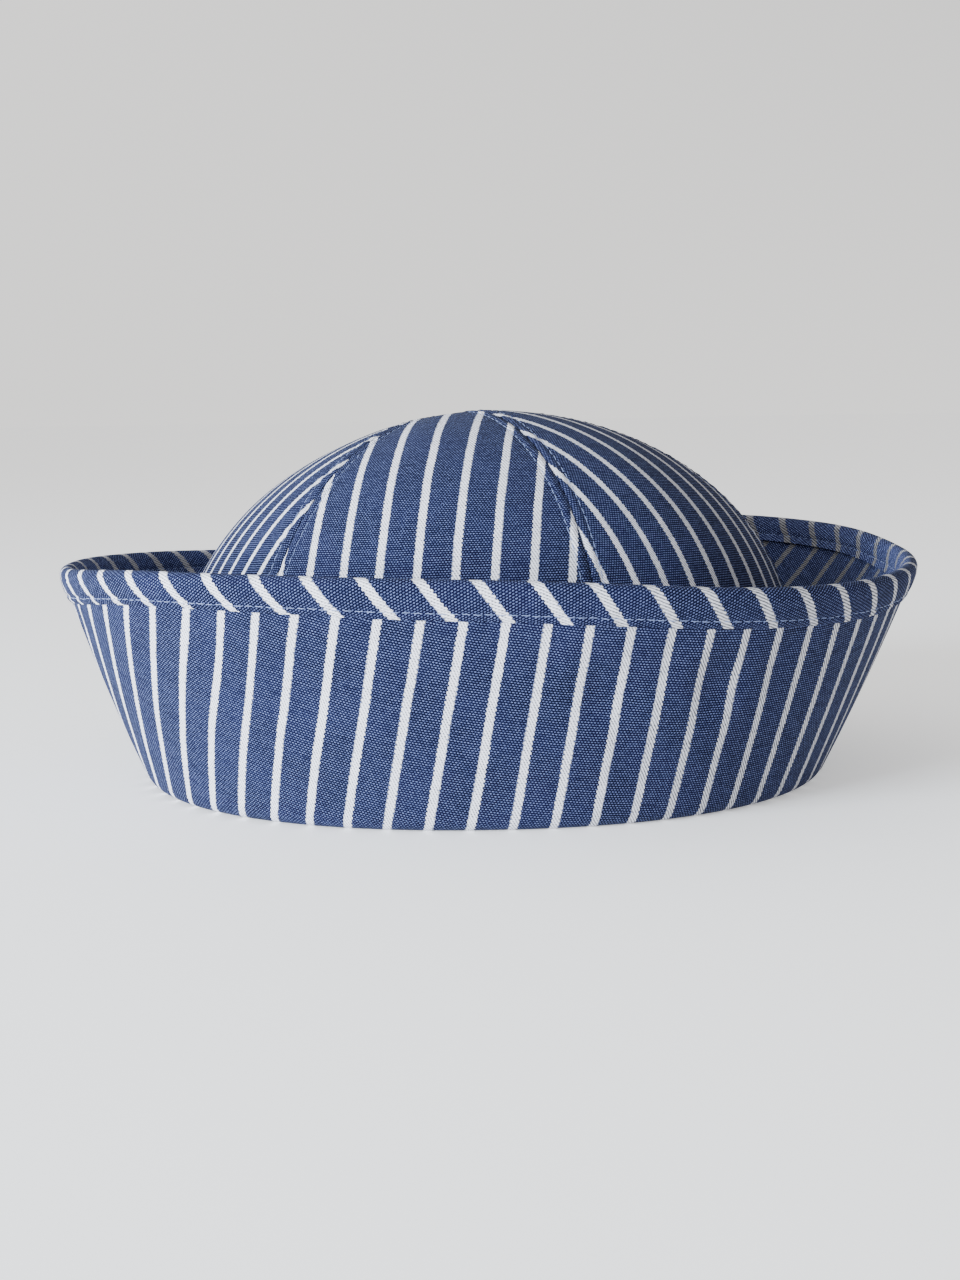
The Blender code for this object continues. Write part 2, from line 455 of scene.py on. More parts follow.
class BrimSection:
    """The brim cut through at each azimuth, as distances out from the crown's foot and up."""

    def __init__(self, azimuth):
        self.azimuth = azimuth[:, None]
        self.flare = BRIM_FLARE * round_the_rim(self.azimuth, "flare")
        self.height = BRIM_HEIGHT * round_the_rim(self.azimuth, "height") + rim_rise(self.azimuth)
        self.lean = np.arctan2(self.flare, self.height)
        self.length = np.hypot(self.flare, self.height)
        slack = (1 - np.sin(self.lean)) * np.tan(self.lean) - np.cos(self.lean)
        self.fold_centre = BRIM_STAND_OFF + FOLD_RADIUS * slack
        self.fold_start = FOLD_RADIUS * (1 - np.sin(self.lean)) / np.cos(self.lean)
        self.layers_top = self.length - BINDING_RADIUS
        self.binding = round_the_rim(self.azimuth, "binding")

    def wall(self, along, inset):
        """Points up the slope from z = 0 and this far in from the outer face."""
        up = along / self.length
        inset = inset + brim_relief(self.azimuth, up) - BRIM_BELLY * 4 * up * (1 - up)
        out = BRIM_STAND_OFF + along * np.sin(self.lean) - inset * np.cos(self.lean)
        return np.stack([out, along * np.cos(self.lean) + inset * np.sin(self.lean)], -1)

    def slope(self, start, end, rows):
        return start + (end - start) * np.linspace(0, 1, rows)[None, :]

    def arc(self, centre, radius, start, end, steps):
        share = np.linspace(0, 1, steps)[None, :]
        angle = start + (end - start) * share
        return centre + radius * np.stack([np.cos(angle), np.sin(angle)], -1)

    def line(self, start, end, steps):
        share = np.linspace(0, 1, steps)[None, :, None]
        return start * (1 - share) + end * share


def run_lengths(points):
    """Lengths along a run of points, from its first one; the run is the last axis but one."""
    steps = np.linalg.norm(np.diff(points, axis=-2), axis=-1)
    start = np.zeros(steps.shape[:-1] + (1,))
    return np.concatenate([start, np.cumsum(steps, axis=-1)], -1)


def section_side(section):
    """Directions in the section square to its line, on the right of its run."""
    run = unit(np.gradient(section, axis=-2))
    return np.stack([run[..., 1], -run[..., 0]], -1)


def cloth_on_brim(azimuth, section, along, cloth, settings):
    """Flat-cloth coordinates on the brim, whose stripes fan out because it was cut as one arc."""
    middle = section.wall(section.length / 2, 0)
    line = beside_foot(azimuth, middle[:, 0, 0], middle[:, 0, 1])
    round_it = run_lengths(line)
    front = np.interp(360.0, azimuth, round_it)
    round_it = round_it - front
    lean = cloth["lean"] + cloth["fan"] * round_it
    step = np.diff(round_it)
    between = (lean[1:] + lean[:-1]) / 2
    across = np.concatenate([[0], np.cumsum(np.cos(between) * step)])
    upward = np.concatenate([[0], np.cumsum(np.sin(between) * step)])
    across = across - np.interp(360.0, azimuth, across)
    climb = along - section.length / 2
    stripes = (across[:, None] - climb * np.sin(lean)[:, None]) / cloth["pitch"] + cloth["first"]
    for moved in cloth["shifts"]:
        beside = away_from(azimuth, moved["azimuth"])[:, None] / moved["width"]
        above = (along / section.length - moved["up"]) / moved["tall"]
        stripes = stripes - moved["shift"] / cloth["pitch"] * np.exp(-(beside**2) - above**2)
    rise = upward[:, None] + climb * np.cos(lean)[:, None]
    return np.stack([stripes * settings.stripe_pitch, rise], -1)


def grid_quads(columns, rows, wrap, flip):
    """Corner numbers of a grid's faces, as places in the flat map, which never wraps."""
    i, j = np.meshgrid(np.arange(columns - (not wrap)), np.arange(rows - 1), indexing="ij")
    corners = [(i, j), (i + 1, j), (i + 1, j + 1), (i, j + 1)]
    if flip:
        corners.reverse()
    return [(a.ravel(), b.ravel()) for a, b in corners]


def cloth_piece(name, face, back, flat, wrap, material, inside=0.0):
    """A closed sheet from the points of its face and back. A sheet that wraps joins its last column
    to its first, and its flat map has one column more. Inside is 1 where the brim hides the cloth,
    and the material paints shade there."""
    columns, rows = face.shape[:2]
    count = columns * rows
    quads = []
    maps = []

    def add(corners, sides):
        numbers = [(i % columns) * rows + j + side * count for (i, j), side in zip(corners, sides)]
        quads.append(np.stack(numbers, -1))
        maps.append(np.stack([i * rows + j for i, j in corners], -1))

    add(grid_quads(columns, rows, wrap, False), (0, 0, 0, 0))
    add(grid_quads(columns, rows, wrap, True), (1, 1, 1, 1))
    i = np.arange(columns - (not wrap))
    low, high = 0 * i, 0 * i + rows - 1
    add([(i + 1, low), (i, low), (i, low), (i + 1, low)], (0, 0, 1, 1))
    add([(i, high), (i + 1, high), (i + 1, high), (i, high)], (0, 0, 1, 1))
    if not wrap:
        j = np.arange(rows - 1)
        first, last = 0 * j, 0 * j + columns - 1
        add([(first, j), (first, j + 1), (first, j + 1), (first, j)], (0, 0, 1, 1))
        add([(last, j + 1), (last, j), (last, j), (last, j + 1)], (0, 0, 1, 1))
    faces = np.concatenate(quads)
    mesh = mesh_from(name, np.concatenate([face.reshape(-1, 3), back.reshape(-1, 3)]), faces)
    layer = mesh.uv_layers.new(name="Cloth")
    places = flat.reshape(-1, 2)[np.concatenate(maps).ravel()]
    layer.data.foreach_set("uv", places.astype(np.float32).ravel())
    mesh.set_sharp_from_angle(angle=radians(55))
    # The share of painted shade, stored as the attribute inside.
    shares = np.tile(np.broadcast_to(inside, face.shape[:2]).ravel(), 2).astype(np.float32)
    mesh.attributes.new("inside", "FLOAT", "POINT").data.foreach_set("value", shares)
    return link_piece(name, mesh, material)


def mesh_from(name, points, faces):
    mesh = bpy.data.meshes.new(name)
    mesh.from_pydata(points.tolist(), [], faces.tolist())
    mesh.shade_smooth()
    return mesh


def link_piece(name, mesh, material):
    mesh.materials.append(material)
    piece = bpy.data.objects.new(name, mesh)
    bpy.context.scene.collection.objects.link(piece)
    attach(piece, "root")
    return piece


def round_the_cap(azimuth, section, middle):
    """A section's points in place round the cap, without the last column, which is the first again."""
    out, up = section[:-1, :, 0], section[:-1, :, 1]
    return beside_foot(azimuth[:-1, None] + 0 * out, out, up) - middle


def rim_middle():
    """Middle of the rim's outline from above, which stands over the origin."""
    azimuth = 360 * np.arange(64) / 64
    section = BrimSection(azimuth)
    share = np.linspace(0, 1, 5)
    angle = -section.lean + pi * share[None, :]
    up = section.layers_top / section.length
    inset = LAYERS / 2 - BRIM_BELLY * 4 * up * (1 - up)
    out = BRIM_STAND_OFF + section.layers_top * np.sin(section.lean) - inset * np.cos(section.lean)
    out = out + BINDING_RADIUS * np.cos(angle)
    points = beside_foot(azimuth[:, None] + 0 * out, out, 0 * out)
    across, along = points[..., 0], points[..., 1]
    return np.array([across.max() + across.min(), along.max() + along.min(), 0]) / 2


class NodeMaker:
    """Short calls for the nodes of a material."""

    def __init__(self, name):
        self.material = bpy.data.materials.new(name)
        self.material.use_nodes = True
        self.tree = self.material.node_tree
        self.shader = self.tree.nodes["Principled BSDF"]

    def plug(self, value, socket):
        if isinstance(value, (int, float)):
            socket.default_value = value
        elif isinstance(value, (tuple, list)):
            socket.default_value = (*value, 1.0)[: len(socket.default_value)]
        else:
            self.tree.links.new(value, socket)

    def math(self, operation, first, second=0.0, third=0.0, clamp=False):
        node = self.tree.nodes.new("ShaderNodeMath")
        node.operation = operation
        node.use_clamp = clamp
        for value, socket in zip((first, second, third), node.inputs):
            self.plug(value, socket)
        return node.outputs[0]

    def vector(self, across, up, third=0.0):
        node = self.tree.nodes.new("ShaderNodeCombineXYZ")
        for value, socket in zip((across, up, third), node.inputs):
            self.plug(value, socket)
        return node.outputs[0]

    def ramp(self, value, low, high, start=0.0, end=1.0):
        node = self.tree.nodes.new("ShaderNodeMapRange")
        node.interpolation_type = "SMOOTHSTEP"
        for given, socket in zip((value, low, high, start, end), node.inputs):
            self.plug(given, socket)
        return node.outputs[0]

    def mix(self, share, first, second):
        node = self.tree.nodes.new("ShaderNodeMix")
        node.data_type = "RGBA"
        sockets = [s for s in node.inputs if s.enabled]
        for value, socket in zip((share, first, second), sockets):
            self.plug(value, socket)
        return node.outputs[2]

    def scaled(self, colour, factor):
        node = self.tree.nodes.new("ShaderNodeVectorMath")
        node.operation = "SCALE"
        self.plug(colour, node.inputs[0])
        self.plug(factor, node.inputs["Scale"])
        return node.outputs[0]

    def noise(self, place, scale, detail=2.0):
        node = self.tree.nodes.new("ShaderNodeTexNoise")
        self.plug(place, node.inputs["Vector"])
        node.inputs["Scale"].default_value = scale
        node.inputs["Detail"].default_value = detail
        return node.outputs["Fac"]

    def cell_value(self, place):
        node = self.tree.nodes.new("ShaderNodeTexWhiteNoise")
        node.noise_dimensions = "2D"
        self.plug(place, node.inputs["Vector"])
        return node.outputs["Value"]


def chambray(name, settings):
    """Blue ground with rows of pale specks, pale stripes across it and a little unevenness. Painted
    shade: inside the brim the stripes are darker and the blue lighter, and towards the cap's right
    the stripes are up to a quarter darker with deeper ribs."""
    nodes = NodeMaker(name)
    # The attribute inside marks where the brim hides the cloth, and there the material paints shade.
    side = nodes.tree.nodes.new("ShaderNodeAttribute")
    side.attribute_name = "inside"
    inside = side.outputs["Fac"]
    uv = nodes.tree.nodes.new("ShaderNodeUVMap")
    uv.uv_map = "Cloth"
    parts = nodes.tree.nodes.new("ShaderNodeSeparateXYZ")
    nodes.plug(uv.outputs[0], parts.inputs[0])
    across, up = parts.outputs[0], parts.outputs[1]
    cloth = uv.outputs[0]
    # Painted shade towards the cap's right (+X in object space): the pale stripes darken by up to a
    # quarter and their ribs deepen.
    where = nodes.tree.nodes.new("ShaderNodeSeparateXYZ")
    nodes.plug(nodes.tree.nodes.new("ShaderNodeTexCoord").outputs["Object"], where.inputs[0])
    painted_right_shade = nodes.math("MULTIPLY_ADD", nodes.noise(cloth, 45.0), 0.06, where.outputs[0])
    painted_right_shade = nodes.ramp(painted_right_shade, 0.03, 0.095)

    wander = nodes.math("SUBTRACT", nodes.noise(cloth, 420.0), 0.5)
    row = nodes.math("MULTIPLY_ADD", wander, 0.45, nodes.math("DIVIDE", up, settings.thread_up))
    row_number = nodes.math("FLOOR", row)
    odd = nodes.math("FRACT", nodes.math("MULTIPLY", row_number, 0.5))
    column = nodes.math("ADD", nodes.math("DIVIDE", across, settings.thread_across), odd)
    column = nodes.math("MULTIPLY_ADD", wander, 0.3, column)
    column_number = nodes.math("FLOOR", column)
    beside = nodes.math("SUBTRACT", nodes.math("FRACT", column), 0.5)
    above = nodes.math("SUBTRACT", nodes.math("FRACT", row), 0.5)
    beside_squared = nodes.math("MULTIPLY", nodes.math("MULTIPLY", beside, beside), 0.70)
    above_squared = nodes.math("MULTIPLY", nodes.math("MULTIPLY", above, above), 1.30)
    spread = nodes.math("SQRT", nodes.math("ADD", beside_squared, above_squared))
    speck = nodes.ramp(spread, 0.18, 0.38, 1.0, 0.0)
    own = nodes.cell_value(nodes.vector(column_number, row_number))
    slub_place = nodes.vector(nodes.math("MULTIPLY", across, 90.0), nodes.math("MULTIPLY", up, 1400.0))
    slub = nodes.noise(slub_place, 1.0, 1.0)
    strength = nodes.math("MULTIPLY_ADD", own, 0.55, nodes.math("MULTIPLY_ADD", slub, 0.9, 0.10))
    speck_shown = nodes.math("MULTIPLY", speck, strength, clamp=True)

    ground = list(settings.ground)
    stripe = list(settings.stripe)
    patchy = nodes.ramp(nodes.noise(cloth, 55.0, 3.0), 0.3, 0.7)
    dark = nodes.mix(patchy, ground, [c * 1.7 + 0.0008 for c in ground])
    blue = nodes.mix(speck_shown, dark, list(settings.speck))
    # Part of the painted shade inside the brim: the blue is made up to twice as light.
    blue = nodes.scaled(blue, nodes.math("MULTIPLY_ADD", inside, 1.0, 1.0))

    number = nodes.math("DIVIDE", across, settings.stripe_pitch)
    sway = nodes.math("SUBTRACT", nodes.noise(cloth, 38.0), 0.5)
    number = nodes.math("MULTIPLY_ADD", sway, 0.06, number)
    off = nodes.math("SUBTRACT", nodes.math("FRACT", nodes.math("ADD", number, 0.5)), 0.5)
    off = nodes.math("MULTIPLY", nodes.math("ABSOLUTE", off), settings.stripe_pitch)
    off = nodes.math("MULTIPLY_ADD", nodes.math("SUBTRACT", odd, 0.25), 0.00042, off)
    off = nodes.math("MULTIPLY_ADD", nodes.math("SUBTRACT", own, 0.5), 0.00018, off)
    half = settings.stripe_width / 2
    in_stripe = nodes.ramp(off, half - 0.00010, half + 0.00010, 1.0, 0.0)
    slant = nodes.math("MULTIPLY_ADD", row, 0.5, nodes.math("SUBTRACT", column, odd))
    slant = nodes.math("FRACT", nodes.math("ADD", slant, 0.25))
    rib = nodes.ramp(nodes.math("ABSOLUTE", nodes.math("SUBTRACT", slant, 0.5)), 0.12, 0.38, 1.0, 0.0)
    # Rib flecks: part of the weave, deepened on the cap's right as painted shade.
    ribs_and_painted_shade = nodes.math("MULTIPLY_ADD", painted_right_shade, 0.65, 0.35)
    dotted = nodes.ramp(nodes.math("ABSOLUTE", above), 0.12, 0.46, 1.0, ribs_and_painted_shade)
    flecks = nodes.math("MULTIPLY", dotted, nodes.ramp(own, 0.0, 1.0, 0.7, 1.0))
    flecks = nodes.math("MULTIPLY", rib, flecks)
    white = nodes.mix(flecks, stripe, [c * 0.10 for c in stripe])
    # Painted shade inside the brim: the pale stripes darken to under half.
    white = nodes.scaled(white, nodes.math("MULTIPLY_ADD", inside, -0.57, 1.0))
    # Painted shade: the pale stripes are up to a quarter darker towards the cap's right.
    white = nodes.scaled(white, nodes.math("MULTIPLY_ADD", painted_right_shade, -0.25, 1.0))
    colour = nodes.mix(in_stripe, blue, white)
    nodes.plug(colour, nodes.shader.inputs["Base Color"])

    thread = nodes.math("SUBTRACT", 1.0, nodes.math("MULTIPLY", spread, 1.3))
    height = nodes.math("ADD", nodes.math("MULTIPLY", thread, 0.8), nodes.math("MULTIPLY", slub, 0.5))
    height = nodes.math("SUBTRACT", height, nodes.math("MULTIPLY", flecks, 0.5))
    bump = nodes.tree.nodes.new("ShaderNodeBump")
    bump.inputs["Strength"].default_value = 0.65
    bump.inputs["Distance"].default_value = 0.00018
    nodes.plug(height, bump.inputs["Height"])
    nodes.plug(bump.outputs[0], nodes.shader.inputs["Normal"])
    nodes.shader.inputs["Roughness"].default_value = 0.88
    nodes.shader.inputs["Specular IOR Level"].default_value = 0.05
    nodes.shader.inputs["Sheen Weight"].default_value = 0.02
    nodes.shader.inputs["Sheen Roughness"].default_value = 0.45
    nodes.shader.inputs["Sheen Tint"].default_value = (0.62, 0.68, 0.82, 1.0)
    return nodes.material


def sewing_thread(settings):
    nodes = NodeMaker("sewing_thread")
    place = nodes.tree.nodes.new("ShaderNodeTexCoord").outputs["Object"]
    shade = nodes.ramp(nodes.noise(place, 900.0), 0.3, 0.7)
    colour = nodes.mix(shade, [c * 0.7 for c in settings.thread], list(settings.thread))
    nodes.plug(colour, nodes.shader.inputs["Base Color"])
    nodes.shader.inputs["Roughness"].default_value = 0.6
    nodes.shader.inputs["Sheen Weight"].default_value = 0.2
    return nodes.material


def material_named(name, make):
    return bpy.data.materials.get(name) or make()


def striped_cloth(context):
    settings = context.scene.cap_cloth
    return material_named("chambray", lambda: chambray("chambray", settings))


def crown_height_over(plan):
    across = np.abs(plan[..., 0] / FOOT_HALF_WIDTH) ** FOOT_FULLNESS
    along = np.abs(plan[..., 1] / FOOT_HALF_DEPTH) ** FOOT_FULLNESS
    share = np.minimum((across + along) ** (SIDE_FULLNESS / FOOT_FULLNESS), 1.0)
    return CROWN_HEIGHT * (1 - share) ** (1 / TOP_FULLNESS)


def grid_normals(points):
    round_it = np.gradient(points, axis=0)
    upward = np.gradient(points, axis=1)
    return unit(np.cross(round_it, upward))


class Gore:
    """One panel of the crown on a grid that is finer beside its two seams."""

    def __init__(self, number, sewing):
        first = SEAM_FEET[number]
        sweep = (SEAM_FEET[(number + 1) % len(SEAM_FEET)] - first) % 360
        even = np.linspace(0, 1, GORE_COLUMNS + 1)
        self.u = even - 0.82 * np.sin(2 * pi * even) / (2 * pi)
        self.v = np.linspace(0, 1, GORE_ROWS + 1)
        meet = np.array(SEAMS_MEET)
        u, v = self.u[:, None], self.v[None, :]
        reach = np.maximum(np.cos(v**FOOT_CROWDING * pi / 2), TIP_REACH)
        feet = foot_point(first + sweep * self.u)[:, None, :]
        plan = meet + (feet - meet) * reach[..., None]
        height = np.maximum(crown_height_over(plan), CROWN_FOOT_HEIGHT)
        shift = (1 - u)[..., None] * self.into(first, 1) + u[..., None] * self.into(first + sweep, -1)
        lean = np.stack([CROWN_LEAN * height / CROWN_HEIGHT, 0 * height, height], -1)
        points = plan + shift + lean
        across = run_lengths(np.swapaxes(points, 0, 1)).T
        middle = np.array([np.interp(0.5, self.u, across[:, k]) for k in range(across.shape[1])])
        self.across = across - middle
        self.up = run_lengths(points[GORE_COLUMNS // 2])[None, :] + 0 * across
        self.from_first = across
        self.from_last = across[-1] - across
        self.normals = grid_normals(points)
        self.face = points + self.normals * self.relief(number, sewing)[..., None]
        self.back = points - self.normals * (CLOTH + self.draw()[..., None])

    def into(self, azimuth, side):
        seam = unit(foot_point(np.array(azimuth)) - np.array(SEAMS_MEET))
        return np.array([-seam[1], seam[0], 0]) * side * GAP / 2

    def draw(self):
        """The gore is drawn in along its two seams."""
        edge = np.abs(2 * self.u[:, None] - 1) ** 8
        return 0.00010 * edge * np.minimum(self.v[None, :] / 0.35, 1) ** 2

    def relief(self, number, sewing):
        """Out of the smooth panel: the turned edge, the stitched line beside it and puckers."""
        away = np.minimum(self.from_first, self.from_last)
        side = np.where(self.from_first < self.from_last, 0.0, 1.7)
        run = self.up * 1000
        fade = np.clip(self.v[None, :] * 5, 0, 1) * np.clip((1 - self.v[None, :]) * 14, 0, 1)
        turned = ridge(away, 0.00020, 0.0016, 0.0009)
        roll = ridge(away, -0.00020, 0, 0.00042)
        groove = ridge(away, -0.00020, sewing.beside_seam, 0.0005)
        wave = np.sin(run * 2.15 + 2.2 * np.sin(run * 0.31 + number) + side * 2)
        wave = wave + 0.6 * np.sin(run * 1.27 + number * 2 + side)
        puckers = wave * ridge(away, sewing.pucker, 0.0022, 0.0030)
        turn = (self.u[:, None] + number) * 2 * pi
        soft = 0.00022 * np.sin(1.3 * turn + self.v[None, :] * 5) * np.sin(pi * self.v[None, :])
        beside = (turned + roll + groove + puckers) * fade
        return beside + soft * np.clip(away / 0.01, 0, 1) - self.draw()

    def beside_seam(self, distance, last):
        """Points and directions out of the cloth, along a line this far from one of the seams."""
        measure = self.from_last[::-1] if last else self.from_first
        face = self.face[::-1] if last else self.face
        normals = self.normals[::-1] if last else self.normals
        rows = []
        for k in range(measure.shape[1]):
            if distance < measure[-1, k] * 0.45:
                point = [np.interp(distance, measure[:, k], face[:, k, axis]) for axis in range(3)]
                normal = [np.interp(distance, measure[:, k], normals[:, k, axis]) for axis in range(3)]
                rows.append((point, normal))
        return np.array([r[0] for r in rows]), unit(np.array([r[1] for r in rows]))


def stitches(runs, sewing, draws):
    """Short rounded threads laid end to end along runs of points, ends dipping into the cloth."""
    sides, rings = 6, 6
    points = []
    faces = []
    for line, normals in runs:
        length = run_lengths(line)
        start = 0.001
        while start + sewing.stitch_length < length[-1]:
            size = sewing.stitch_length * draws.uniform(0.88, 1.08)
            at = start + size * np.linspace(0, 1, rings)
            centre = np.stack([np.interp(at, length, line[:, axis]) for axis in range(3)], -1)
            outward = unit(np.stack([np.interp(at, length, normals[:, axis]) for axis in range(3)], -1))
            run = unit(np.gradient(centre, axis=0))
            beside = unit(np.cross(outward, run))
            arch = np.sin(np.linspace(0, pi, rings))
            lift = sewing.thread_radius * (1.1 * arch**0.5 - 0.55)
            swell = sewing.thread_radius * (0.45 + 0.55 * arch**0.4)
            centre = centre + outward * lift[:, None] + beside * draws.uniform(-0.00006, 0.00006)
            turn = np.arange(sides) * 2 * pi / sides
            ring = beside[:, None] * np.cos(turn)[None, :, None] * 1.15
            ring = ring + outward[:, None] * np.sin(turn)[None, :, None]
            base = len(points) * sides * rings
            points.append((centre[:, None] + ring * swell[:, None, None]).reshape(-1, 3))
            i, j = np.meshgrid(np.arange(rings - 1), np.arange(sides), indexing="ij")
            i, j = i.ravel(), j.ravel()
            after = (j + 1) % sides
            low, high = i * sides, (i + 1) * sides
            quads = np.stack([low + j, low + after, high + after, high + j], -1)
            faces += (quads + base).tolist()
            faces.append([base + k for k in range(sides)][::-1])
            faces.append([base + (rings - 1) * sides + k for k in range(sides)])
            start += size + sewing.stitch_gap * draws.uniform(0.7, 1.3)
    return np.concatenate(points), faces


def stitch_piece(name, runs, context):
    sewing = context.scene.cap_sewing
    draws = np.random.default_rng(sewing.stitch_seed)
    points, faces = stitches(runs, sewing, draws)
    mesh = bpy.data.meshes.new(name)
    mesh.from_pydata(points.tolist(), [], faces)
    mesh.shade_smooth()
    material = material_named("sewing_thread", lambda: sewing_thread(sewing))
    return link_piece(name, mesh, material)


class CAP_OT_crown(Operator):
    """Makes the six panels of the crown and the stitches beside their seams"""

    bl_idname = "sailor_cap.crown"
    bl_label = "Crown panels"

    def execute(self, context):
        sewing = context.scene.cap_sewing
        cloth = context.scene.cap_cloth
        middle = rim_middle()
        runs = []
        for number, lay in enumerate(PANEL_CLOTH):
            gore = Gore(number, sewing)
            stripes = (gore.across - lay["first"]) / lay["pitch"]
            flat = np.stack([stripes * cloth.stripe_pitch, gore.up], -1)
            name = f"crown_panel_{number + 1}"
            face, back = gore.face - middle, gore.back - middle
            piece = cloth_piece(f"{name}_cloth", face, back, flat, False, striped_cloth(context))
            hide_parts(name)
            for last in (False, True):
                line, normals = gore.beside_seam(sewing.beside_seam, last)
                runs.append((line - middle, normals))
        stitch_piece("crown_stitches", runs, context)
        return {"FINISHED"}


class CAP_OT_brim(Operator):
    """Makes the outer and the inner layer of the turned-up brim"""

    bl_idname = "sailor_cap.brim"
    bl_label = "Brim layers"

    def execute(self, context):
        azimuth = BRIM_SEAM + 360 * np.arange(BRIM_COLUMNS + 1) / BRIM_COLUMNS
        section = BrimSection(azimuth)
        self.outer(context, azimuth, section)
        self.inner(context, azimuth, section)
        return {"FINISHED"}

    def finish(self, context, name, azimuth, section, line, side, along, lay, inside):
        """Turns the section's lines into a closed ring of cloth."""
        middle = rim_middle()
        face = round_the_cap(azimuth, line, middle)
        back = round_the_cap(azimuth, line + section_side(line) * side, middle)
        flat = cloth_on_brim(azimuth, section, along, lay, context.scene.cap_cloth)
        if side > 0:
            face, back = back, face
        piece = cloth_piece(f"{name}_cloth", face, back, flat, True, striped_cloth(context), inside)
        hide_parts(name)

    def outer(self, context, azimuth, section):
        one = np.ones_like(section.length)[..., None]
        leg_face = -2 * (CLOTH + GAP)
        leg = np.array([leg_face + LEG_RADIUS, LEG_RADIUS]) * one
        fold = np.stack([section.fold_centre, FOLD_RADIUS + 0 * section.fold_centre], -1)
        zero = 0 * section.lean
        leg_top = np.array([leg_face, LEG_HEIGHT]) * one
        turned_up = section.line(leg_top, np.array([leg_face, LEG_RADIUS]) * one, 5)
        leg_arc = section.arc(leg, LEG_RADIUS, zero - pi, zero - pi / 2, 7)
        fold_arc = section.arc(fold, FOLD_RADIUS, zero - pi / 2, -section.lean, 12)
        flat_run = section.line(leg_arc[:, -1:], fold_arc[:, :1], 4)
        slope = section.slope(section.fold_start, section.layers_top, WALL_ROWS)
        wall = section.wall(slope, 0)
        below = [run[:, :-1] for run in (turned_up, leg_arc, flat_run, fold_arc)]
        line = np.concatenate([*below, wall], 1)
        lengths = run_lengths(line)
        first = line.shape[1] - WALL_ROWS
        along = lengths - lengths[:, first : first + 1] + section.fold_start
        self.finish(context, "brim_outer", azimuth, section, line, -CLOTH, along, BRIM_CLOTH, 0.0)

    def inner(self, context, azimuth, section):
        one = np.ones_like(section.length)[..., None]
        slope = section.slope(section.fold_start, section.layers_top, INNER_ROWS)
        slope = slope[:, INNER_ROWS_IN_TROUGH:]
        wall = section.wall(slope, LAYERS)
        start = np.array([GAP, TROUGH_HEIGHT]) * one
        corner = section.wall(section.fold_start, LAYERS)
        share = np.linspace(0, 1, TROUGH_ROWS + 1)[None, :-1, None]
        trough = start * (1 - share) ** 2 + corner * 2 * share * (1 - share) + wall[:, :1] * share**2
        line = np.concatenate([trough, wall], 1)
        lengths = run_lengths(line)
        along = lengths - lengths[:, TROUGH_ROWS : TROUGH_ROWS + 1] + slope[:, :1]
        # The inner layer gets the painted shade all over.
        self.finish(context, "brim_inner", azimuth, section, line, CLOTH, along, LINING_CLOTH, 1.0)


